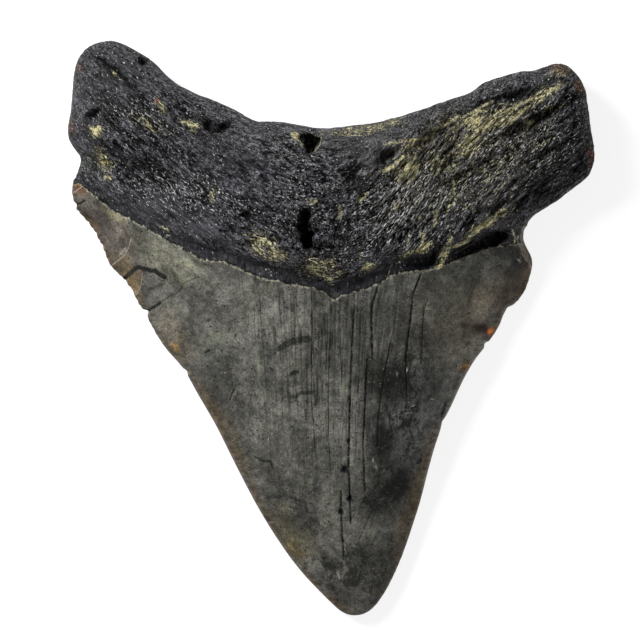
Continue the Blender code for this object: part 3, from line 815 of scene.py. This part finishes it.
def bandRelief(side, band):
    # the bourlette lies in a step between a ridge at the root and the enamel's raised fringe
    height = carving["bandRidge"] * bell(band, carving["bandRidgeWidth"])
    recess = smoothStep(side, *carving["bandFoot"]) * (1 - smoothStep(band, *carving["bandHead"]))
    height -= carving["bandStep"] * recess
    return height + carving["fringe"] * bell(side - carving["fringePlace"], carving["fringeWidth"])


def carveRelief(obj):
    mesh = obj.data
    points, normals = readPoints(mesh), readNormals(mesh)
    side, band = beyondLine(points, "enamelLine"), beyondLine(points, "bandTop")
    onRoot = smoothStep(band, *carving["rootStart"])
    depth = rimDistance(points, normals)[:, None]
    depth = relax(mesh, depth, carving["depthSmoothing"])[:, 0]
    points = evenOut(mesh, points, onRoot, depth)
    writePoints(mesh, points)
    normals = readNormals(mesh)

    upper = smoothStep(normals[:, 2], *drawing["upperFade"])
    patchy = waver(waver(points, *drawing["patchWaver"]), *drawing["patchRuffle"])
    calm = strongest(points, patchy, worn)
    flow = np.stack([points[:, 0], aboveLine(points, "grainLine"), points[:, 2]], 1)
    middle = smoothStep(softEllipse(points, *carving["uprightPart"]), *carving["uprightFade"])
    lively = onRoot * atLeast(carving["backShare"], upper) * (1 - carving["wornLoss"] * calm)
    lively *= atLeast(carving["rimShare"], smoothStep(depth, *carving["rimFade"]))
    relief, fine, folds = rootRelief(points, flow, middle)
    hollow = np.zeros(len(points))
    for cut, _, inside in eachOpening(points, carving["openingSlope"]):
        hollow += cut * inside * upper
    height = (relief + fine * (1 - smoothStep(hollow, *carving["hollowFade"]))) * lively - hollow

    offset, weight, _ = nearestStroke(waver(points, *drawing["strokeWaver"]), cracks)
    groove = weight * (1 - smoothStep(np.abs(offset), *carving["crackSlope"])) * upper
    height -= carving["crackDepth"] * groove * (1 - onRoot)
    height += bandRelief(side, band) * upper * smoothStep(depth, *carving["bandFade"])
    atRim = smoothStep(depth, *carving["rimReach"])
    height += carving["rimPush"] * atRim * (1 - onRoot)
    for centre, reach, cut in notches.values():
        away = awayFrom(points, centre)
        height -= cut * (1 - smoothStep(away, carving["notchFloor"], reach)) * atRim
    points += normals * height[:, None]
    points[:, 2] = np.maximum(points[:, 2], carving["tableGap"])
    writePoints(mesh, points)
    mesh.polygons.foreach_set("use_smooth", [True] * len(mesh.polygons))
    store(mesh, "edgeDepth", depth)
    # for painted shade in the hollows and folds of the fine relief, and painted light on its peaks
    store(mesh, "cavityShadeAndPeakLight", (fine - folds * carving["foldShade"]) * lively)
    store(mesh, "calm", calm)
    store(mesh, "rootGrain", flow)
    store(mesh, "uprightGrain", middle)
    storeMasks(mesh, points, patchy)


# Where the material's marks begin and end.
masking = {
    "levelFade": (-0.05, 0.5),         # sediment lies only where the surface is fairly level
    "openingShade": (0.5, 1.15),
    "striaeMiddle": -1.0,
    "striaeWidth": 15.0,
    "striaeEnd": (-42, -8),
    "striaeLean": (0.0035, 0.0100),    # how fast they draw together towards the tip, left and right
}


def storeMasks(mesh, points, patchy):
    # what the material reads at each point of the mesh
    normals = readNormals(mesh)
    upper = smoothStep(normals[:, 2], *drawing["upperFade"])
    side = beyondLine(points, "enamelLine") * upper + beyondLine(points, "labialLine") * (1 - upper)
    store(mesh, "enamelSide", side)
    store(mesh, "bandSide", np.where(upper > 0.5, beyondLine(points, "bandTop"), side))
    drawn = waver(points, *drawing["strokeWaver"])
    kinds = {"crack": cracks, "stain": stains, "chip": chipAndHighlights, "crease": creaseShades, "thread": threads}
    for name, strokes in kinds.items():
        offset, weight, _ = nearestStroke(drawn, strokes)
        store(mesh, name + "Offset", offset)
        store(mesh, name + "Weight", weight * upper)
    for name, patches in (("smudged", smudged), ("glitter", glitter), ("rough", hollowShading)):
        store(mesh, name, strongest(points, patchy, patches) * upper)
    level = smoothStep(normals[:, 2], *masking["levelFade"])
    store(mesh, "sediment", strongest(points, patchy, sediment) * level)
    # painted shade inside the openings and furrows
    dark = np.zeros(len(points))
    for _, shadeInside, inside in eachOpening(points, masking["openingShade"]):
        dark = np.maximum(dark, shadeInside * inside)
    store(mesh, "opening", dark * upper)
    for part in tints:
        colour = np.tile(np.array([*finish[part], 1.0]), (len(points), 1))
        for *shape, strength, tint in tints[part].values():
            share = (strength * patch(points, patchy, *shape) * upper)[:, None]
            colour = colour * (1 - share) + np.array([*tint, 1.0]) * share
        store(mesh, part + "Tint", colour)
    x, y, z = points.T
    lean = np.where(x > 0, masking["striaeLean"][1], masking["striaeLean"][0])
    store(mesh, "crownGrain", np.stack([x * np.exp(-lean * y), y, z], 1))
    striae = bell(x - masking["striaeMiddle"], masking["striaeWidth"]) * smoothStep(y, *masking["striaeEnd"])
    store(mesh, "striation", striae)


# the finish

finish = {
    "crown": (0.110, 0.108, 0.095),
    "root": (0.069, 0.068, 0.077),
    "band": (0.034, 0.034, 0.038),
    # painted highlight: the lit colour of the band's upper ridge, also used for painted sheen on the band
    "bandRidge": (0.120, 0.118, 0.125),
    # partly gold flecks, partly a painted highlight on the enamel's raised upper edge
    "fringe": (0.400, 0.380, 0.280),
    "edge": (0.170, 0.115, 0.058),
    "edgeDark": (0.035, 0.026, 0.018),
    # painted shade inside openings and furrows, and the band's dark cracks
    "pit": (0.006, 0.006, 0.007),
    # painted highlight: glints on the root's grains and on the band
    "glint": (0.850, 0.850, 0.820),
    "crack": (0.006, 0.006, 0.005),
    "stain": (0.011, 0.011, 0.010),
    # pale chips and flecks, and painted highlights along lit edges
    "chip": (0.420, 0.390, 0.330),
    "moss": (0.900, 1.000, 0.720),
    "olive": (0.230, 0.205, 0.105),
    "sediment": (0.800, 0.700, 0.300),
    "sedimentPale": (0.980, 0.950, 0.620),
    "sedimentRust": (0.560, 0.310, 0.100),
    "specular": 0.10,
}

fossil = bpy.data.materials.new("fossil")
fossil.use_nodes = True
tree = fossil.node_tree    # every node below goes into it


def feed(socket, value):
    if isinstance(value, bpy.types.NodeSocket):
        tree.links.new(value, socket)
    elif socket.type == "RGBA" and len(value) == 3:
        socket.default_value = (*value, 1)
    else:
        socket.default_value = value


def node(kind, inputs, output=0, **settings):
    # a new node with its settings, its inputs fed and one output handed back
    new = tree.nodes.new("ShaderNode" + kind)
    for name, value in settings.items():
        setattr(new, name, value)
    for name, value in inputs.items():
        feed(new.inputs[name], value)
    return new.outputs[output]


def attribute(name, output="Fac"):
    return node("Attribute", {}, output, attribute_name=name)


def maths(operation, a, b=0.0):
    return node("Math", {0: a, 1: b}, operation=operation)


def plus(a, b):
    return maths("ADD", a, b)


def times(first, *others):
    for other in others:
        first = maths("MULTIPLY", first, other)
    return first


def lessened(value, share):
    return times(value, maths("SUBTRACT", 1.0, share))


def around(value, middle=0.5):
    return maths("ABSOLUTE", maths("SUBTRACT", value, middle))


def centred(value, amount):
    return times(maths("SUBTRACT", value, 0.5), amount)


def mixColour(share, a, b, blend="MIX"):
    return node("Mix", {0: share, 6: a, 7: b}, 2, data_type="RGBA", blend_type=blend)


def mixValue(share, a, b):
    return node("Mix", {0: share, 2: a, 3: b}, data_type="FLOAT")


def painted(colour, share, name):
    return mixColour(share, colour, finish[name])


def scaled(vector, amount):
    return node("VectorMath", {0: vector, "Scale": amount}, operation="SCALE")


place = scaled(node("TexCoord", {}, "Object"), 1 / mm)


def spread(value, low, high, toLow=0.0, toHigh=1.0):
    # maps low..high smoothly to toLow..toHigh
    inputs = {"Value": value, "From Min": low, "From Max": high, "To Min": toLow, "To Max": toHigh}
    return node("MapRange", inputs, "Result", interpolation_type="SMOOTHSTEP")


def grainy(along, scale, detail=3.0, roughness=0.55, distortion=0.0):
    vector = place if along == "place" else attribute(along, "Vector")
    scale = scale if isinstance(scale, tuple) else (scale, scale, scale)
    inputs = {
        "Vector": node("Mapping", {"Vector": vector, "Scale": scale}),
        "Scale": 1.0,
        "Detail": detail,
        "Roughness": roughness,
        "Distortion": distortion,
    }
    return node("TexNoise", inputs, "Fac")


def noisesOf(settings):
    return {name: grainy(*values) for name, values in settings.items()}


def showing(noises, ranges):
    # makes a function that puts a noise, or another value, over the range of that name
    def shown(name, value=None):
        return spread(noises[name] if value is None else value, *ranges[name])
    return shown


# In the next dictionaries a noise is: coordinates, scale, detail, roughness and distortion.
# A range is: where it starts and ends, then what it gives at both, 0 and 1 where that isn't said.
strokeLook = {
    "wobble": ("place", 2.4, 3.0, 0.7),
    "breaks": ("place", 0.9, 3.0, 0.7),
    "breaksRange": (0.38, 0.56),
    "line": (1.25, 0.6),
    "crack": (3.6, 0.55),    # how far the line wobbles, and how much of it breaks off
    "stain": (1.6, 0.08),
    "chip": (0.6, 0.5),
    "crease": (4.0, 0.4),
    "thread": (6.4, 0.8),
}


def strokeMask(name):
    wobbles, breaks = strokeLook[name]
    offset = plus(attribute(name + "Offset"), centred(grainy(*strokeLook["wobble"]), wobbles))
    line = times(spread(maths("ABSOLUTE", offset), *strokeLook["line"]), attribute(name + "Weight"))
    return times(line, spread(grainy(*strokeLook["breaks"]), *strokeLook["breaksRange"], 1 - breaks, 1.0))


enamelNoise = {
    "cloud": ("place", (0.11, 0.09, 0.11), 5.0, 0.62, 0.8),
    "mottle": ("place", 0.7, 5.0, 0.72),
    "fine": ("place", 3.0, 3.0, 0.65),
    "streak": ("crownGrain", (1.15, 0.018, 0.3), 3.0, 0.75),
    "hair": ("crownGrain", (0.80, 0.020, 0.2), 2.0, 0.5),
    "hairZones": ("crownGrain", (0.5, 0.16, 0.4), 2.0),
    "craze": ("place", (0.75, 0.45, 0.6), 3.0, 0.6, 1.2),
    "crazeZones": ("place", 0.3, 2.0),
    "smudges": ("place", (0.36, 0.28, 0.3), 6.0, 0.78, 0.6),
    "green": ("place", 0.35, 3.0, 0.6),
    "dots": ("place", 1.9, 1.5),
    "paleDots": ("place", (2.8, 2.2, 2.5), 1.0),
    "ticks": ("place", (0.25, 1.5, 0.1), 1.0),
}
enamelRange = {
    "cloud": (0.36, 0.66, 0.56, 1.36),
    "mottle": (0.34, 0.66, 0.66, 1.32),
    "fine": (0.34, 0.66, 0.72, 1.28),
    "streak": (0.34, 0.60, 0.52, 1.2),
    "hair": (0.050, 0.010),
    "hairZones": (0.42, 0.58, 0.0, 0.85),
    "craze": (0.030, 0.006),
    "crazeZones": (0.48, 0.62, 0.0, 0.5),
    "smudges": (0.495, 0.535, 0.0, 0.90),
    "green": (0.52, 0.68, 0.0, 0.35),
    "dots": (0.645, 0.69, 0.0, 0.85),
    "paleDots": (0.70, 0.75, 0.0, 0.4),
    "ticks": (0.50, 0.56),
    "tickEdge": (1.2, 0.5, 0.0, 0.5),
    "edge": (1.1, 0.1),
    "edgeMottle": (0.38, 0.58, 0.0, 0.5),
    "fringe": (-0.42, -0.1),
    "fringeGrain": (0.42, 0.60, 0.03, 0.8),
    "roughness": (0.25, 0.75, 0.38, 0.60),
}
enamelRelief = {"streak": 0.16, "mottle": 0.16, "fine": 0.06, "lines": -0.06, "crack": -0.20}
enamelUneven = {"edgeCloud": 5.0, "edgeMottle": 3.0, "fringe": 1.2}


def enamelLook():
    noises = noisesOf(enamelNoise)
    shown = showing(noises, enamelRange)
    cloud, mottle = noises["cloud"], noises["mottle"]
    striation, depth = attribute("striation"), attribute("edgeDepth")
    light = times(shown("cloud"), shown("mottle"), shown("fine"))
    light = times(light, mixValue(striation, 1.0, shown("streak")))
    colour = scaled(attribute("crownTint", "Color"), light)
    colour = painted(colour, times(shown("smudges"), attribute("smudged")), "stain")
    colour = mixColour(shown("green"), colour, finish["moss"], "MULTIPLY")
    hair = times(shown("hair", around(noises["hair"])), shown("hairZones"), striation)
    craze = times(shown("craze", around(noises["craze"])), shown("crazeZones"))
    fineLines = maths("MAXIMUM", hair, craze)
    colour = painted(colour, fineLines, "stain")
    colour = painted(colour, shown("dots"), "stain")
    colour = painted(colour, shown("paleDots"), "chip")

    edge = plus(depth, centred(cloud, enamelUneven["edgeCloud"]))
    edge = plus(edge, centred(mottle, enamelUneven["edgeMottle"]))
    colour = painted(colour, times(shown("edge", edge), shown("edgeMottle", mottle)), "edge")
    colour = painted(colour, times(shown("ticks"), shown("tickEdge", depth)), "edgeDark")
    # the enamel's fringe: gold flecks and a painted highlight on its raised upper edge
    side = plus(attribute("enamelSide"), centred(mottle, enamelUneven["fringe"]))
    colour = painted(colour, times(shown("fringe", side), shown("fringeGrain", noises["fine"])), "fringe")
    colour = painted(colour, strokeMask("stain"), "stain")
    crack = strokeMask("crack")
    colour = painted(colour, crack, "crack")

    streaks = mixValue(striation, 0.5, noises["streak"])
    heights = {**noises, "streak": streaks, "lines": fineLines, "crack": crack}
    height = 0.0
    for name, amount in enamelRelief.items():
        height = plus(height, times(heights[name], amount))
    return colour, shown("roughness", mottle), height


rootNoise = {
    "lobes": ("rootGrain", (1.45, 2.8, 2.5), 3.0, 0.68, 0.9),
    "upright": ("place", (2.7, 1.3, 2.0), 3.0, 0.68, 0.7),
    "granules": ("place", 3.3, 2.0, 0.6),
    "cloud": ("place", 0.20, 3.0),
    "folds": ("rootGrain", (0.30, 0.85, 0.8), 3.0, 0.6, 1.0),
    "wrinkleShades": ("rootGrain", (0.15, 0.62, 0.5), 3.0, 0.6, 0.6),
    "deep": ("rootGrain", (0.95, 1.9, 1.7), 4.0, 0.75, 0.8),
    "glints": ("rootGrain", (1.9, 3.1, 2.5), 2.0, 0.6),
    "dust": ("rootGrain", (1.3, 2.6, 2.3), 3.0, 0.7),
    "veins": ("rootGrain", (0.14, 0.75, 0.7), 3.0, 0.7),
}
rootRange = {
    "grit": (0.42, 0.61, 0.04, 3.1),
    "wornGrit": (0.40, 0.60, 0.62, 1.35),
    "cloud": (0.3, 0.7, 0.7, 1.25),
    "folds": (0.38, 0.60, 0.50, 1.45),
    "wrinkleShades": (0.035, 0.004),
    "deep": (0.45, 0.55, 0.14, 1.5),
    "cavityShadeAndPeakLight": (-0.40, 0.24, 0.18, 1.6),
    "glints": (0.660, 0.70, 0.0, 0.95),
    "dust": (0.635, 0.675),
    "dustGranules": (0.36, 0.50, 0.25, 1.0),
    "dustThere": (0.0, 0.12, 0.2, 1.0),
    "veins": (0.36, 0.60, 0.35, 1.2),
    "olive": (0.42, 0.58, 0.0, 0.7),
    "roughness": (0.35, 0.65, 0.75, 0.5),
}
rootShare = {
    "fibres": 0.7,
    "granules": 0.3,
    "wrinkleShades": (0.85, 0.3),     # fresh and worn
    "creaseShades": 0.9,
    "glitter": 0.085,
    "dust": 0.180,
    "gritHeight": (2.0, 0.8),    # fresh and worn
    "foldHeight": 1.6,
    "lineHeight": -0.35,
}


def rootLook(gold):
    noises = noisesOf(rootNoise)
    shown = showing(noises, rootRange)
    calm = attribute("calm")
    fibre = mixValue(attribute("uprightGrain"), noises["lobes"], noises["upright"])
    grit = plus(times(fibre, rootShare["fibres"]), times(noises["granules"], rootShare["granules"]))
    # the grain's own tone with painted light and shade of its relief, softer where worn
    light = mixValue(calm, shown("grit", grit), shown("wornGrit", grit))
    # painted shade in thin wrinkle lines along the grain, fainter where worn
    wrinkleShade = shown("wrinkleShades", around(noises["wrinkleShades"]))
    wrinkleShade = times(wrinkleShade, mixValue(calm, *rootShare["wrinkleShades"]))
    # a random tone cloud, and painted light and shade on the sides of the broad folds
    light = lessened(times(light, shown("cloud"), shown("folds")), wrinkleShade)
    # painted shade in the hollows, with lighter grains between, where the root is most broken up
    light = times(light, mixValue(attribute("rough"), 1.0, shown("deep")))
    # painted shade in the carved hollows and painted light on the raised grain
    light = times(light, shown("cavityShadeAndPeakLight", attribute("cavityShadeAndPeakLight")))
    # painted shade along the listed creases
    crease = strokeMask("crease")
    light = lessened(light, times(crease, rootShare["creaseShades"]))
    colour = scaled(attribute("rootTint", "Color"), light)
    # painted highlights: white glints on the grains, more in the listed glint places
    glint = plus(noises["glints"], times(attribute("glitter"), rootShare["glitter"]))
    colour = painted(colour, shown("glints", glint), "glint")

    there = times(attribute("sediment"), shown("veins"))
    colour = painted(colour, times(there, shown("olive", grit)), "olive")
    dust = shown("dust", plus(noises["dust"], times(there, rootShare["dust"])))
    dust = times(dust, shown("dustGranules", noises["granules"]), shown("dustThere", there))
    colour = mixColour(dust, colour, gold)

    height = times(grit, mixValue(calm, *rootShare["gritHeight"]))
    height = plus(height, times(noises["folds"], rootShare["foldHeight"]))
    height = plus(height, times(maths("MAXIMUM", wrinkleShade, crease), rootShare["lineHeight"]))
    return colour, shown("roughness", grit), height


bandNoise = {
    "stretch": ("place", (0.5, 0.9, 0.9), 4.0, 0.6),
    "splits": ("place", (0.9, 0.16, 0.3), 3.0, 0.6),
    "sheen": ("place", (1.5, 0.55, 0.5), 3.0, 0.65),
    "bandGlints": ("place", (2.0, 1.5, 1.5), 1.5),
    "sparkZones": ("place", 0.35, 2.0),
    "ridgeZones": ("place", 0.6, 2.0),
}
bandRange = {
    "stretch": (0.3, 0.7, 0.6, 1.5),
    "splits": (0.06, 0.01),
    "sheen": (0.56, 0.70, 0.0, 0.55),
    "bandGlints": (0.64, 0.70, 0.0, 0.6),
    "sparkZones": (0.46, 0.62),
    "ridgeZones": (0.4, 0.6, 0.0, 0.8),
    "ridge": (0.28, 0.05),
    "shade": (0.05, 0.65, 0.25, 1.0),    # darker under the enamel's edge
    "roughness": (0.3, 0.7, 0.35, 0.55),
}
bandShare = {"splits": 0.6, "ridge": 1.2, "stretchHeight": 0.25, "splitHeight": -0.1}


def bandLook():
    noises = noisesOf(bandNoise)
    shown = showing(noises, bandRange)
    stretch = noises["stretch"]
    line = shown("splits", around(noises["splits"]))
    colour = scaled(finish["band"], shown("stretch"))
    colour = painted(colour, times(line, bandShare["splits"]), "pit")
    # painted sheen: light streaks over the band
    colour = painted(colour, shown("sheen"), "bandRidge")
    # painted highlights: small glints over the band
    colour = painted(colour, times(shown("bandGlints"), shown("sparkZones")), "glint")
    # painted highlight along the band's upper ridge
    ridge = maths("ABSOLUTE", plus(attribute("bandSide"), centred(stretch, bandShare["ridge"])))
    colour = painted(colour, times(shown("ridge", ridge), shown("ridgeZones")), "bandRidge")
    colour = scaled(colour, shown("shade", attribute("enamelSide")))
    height = plus(times(stretch, bandShare["stretchHeight"]), times(line, bandShare["splitHeight"]))
    return colour, shown("roughness", stretch), height


borderNoise = {
    "ragged": ("place", 0.9, 4.0, 0.72),
    "inside": ("place", (1.7, 0.6, 0.6), 3.0, 0.65),
    "threadGrain": ("place", 2.4, 2.0),
    "tone": ("place", 1.7, 2.0),
}
borderRange = {
    "enamel": (-0.08, 0.08),
    "band": (-0.2, 0.2),
    "inside": (0.56, 0.68, 0.96, 0.62),
    "threadGrain": (0.40, 0.54, 0.15, 1.0),
    "pale": (0.38, 0.60),
    "rust": (0.38, 0.29),
}
borderRagged = {"enamel": 2.2, "band": 0.8}


def finishFossil():
    noises = noisesOf(borderNoise)
    shown = showing(noises, borderRange)
    gold = mixColour(shown("pale", noises["tone"]), finish["sediment"], finish["sedimentPale"])
    gold = painted(gold, shown("rust", noises["tone"]), "sedimentRust")
    enamel, band, root = enamelLook(), bandLook(), rootLook(gold)

    ragged = centred(noises["ragged"], borderRagged["enamel"])
    offEnamel = shown("enamel", plus(attribute("enamelSide"), ragged))
    offBand = shown("band", plus(attribute("bandSide"), times(ragged, borderRagged["band"])))
    colour = mixColour(offEnamel, enamel[0], mixColour(offBand, band[0], root[0]))
    # painted shade inside openings and furrows, broken by lighter streaks
    colour = painted(colour, times(attribute("opening"), shown("inside")), "pit")
    colour = mixColour(times(strokeMask("thread"), shown("threadGrain")), colour, gold)
    # pale chips, and painted highlights along lit edges
    colour = painted(colour, strokeMask("chip"), "chip")
    roughness = mixValue(offEnamel, enamel[1], mixValue(offBand, band[1], root[1]))
    height = mixValue(offEnamel, enamel[2], mixValue(offBand, band[2], root[2]))
    normal = node("Bump", {"Strength": 1.0, "Distance": mm, "Height": height})
    shader = tree.nodes["Principled BSDF"]
    feed(shader.inputs["Base Color"], colour)
    feed(shader.inputs["Roughness"], roughness)
    feed(shader.inputs["Normal"], normal)
    shader.inputs["Specular IOR Level"].default_value = finish["specular"]


makeCamera()
makeStudio()
print("camera and studio made")
tooth = denseTooth()
print("tooth meshed:", len(tooth.data.vertices), "points")
carveRelief(tooth)
tooth.data.calc_loop_triangles()
print("tooth carved:", len(tooth.data.loop_triangles), "triangles")
finishFossil()
tooth.data.materials.clear()
tooth.data.materials.append(fossil)
print("fossil finish made:", len(tree.nodes), "nodes")
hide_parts("tooth")
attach(tooth, "root")
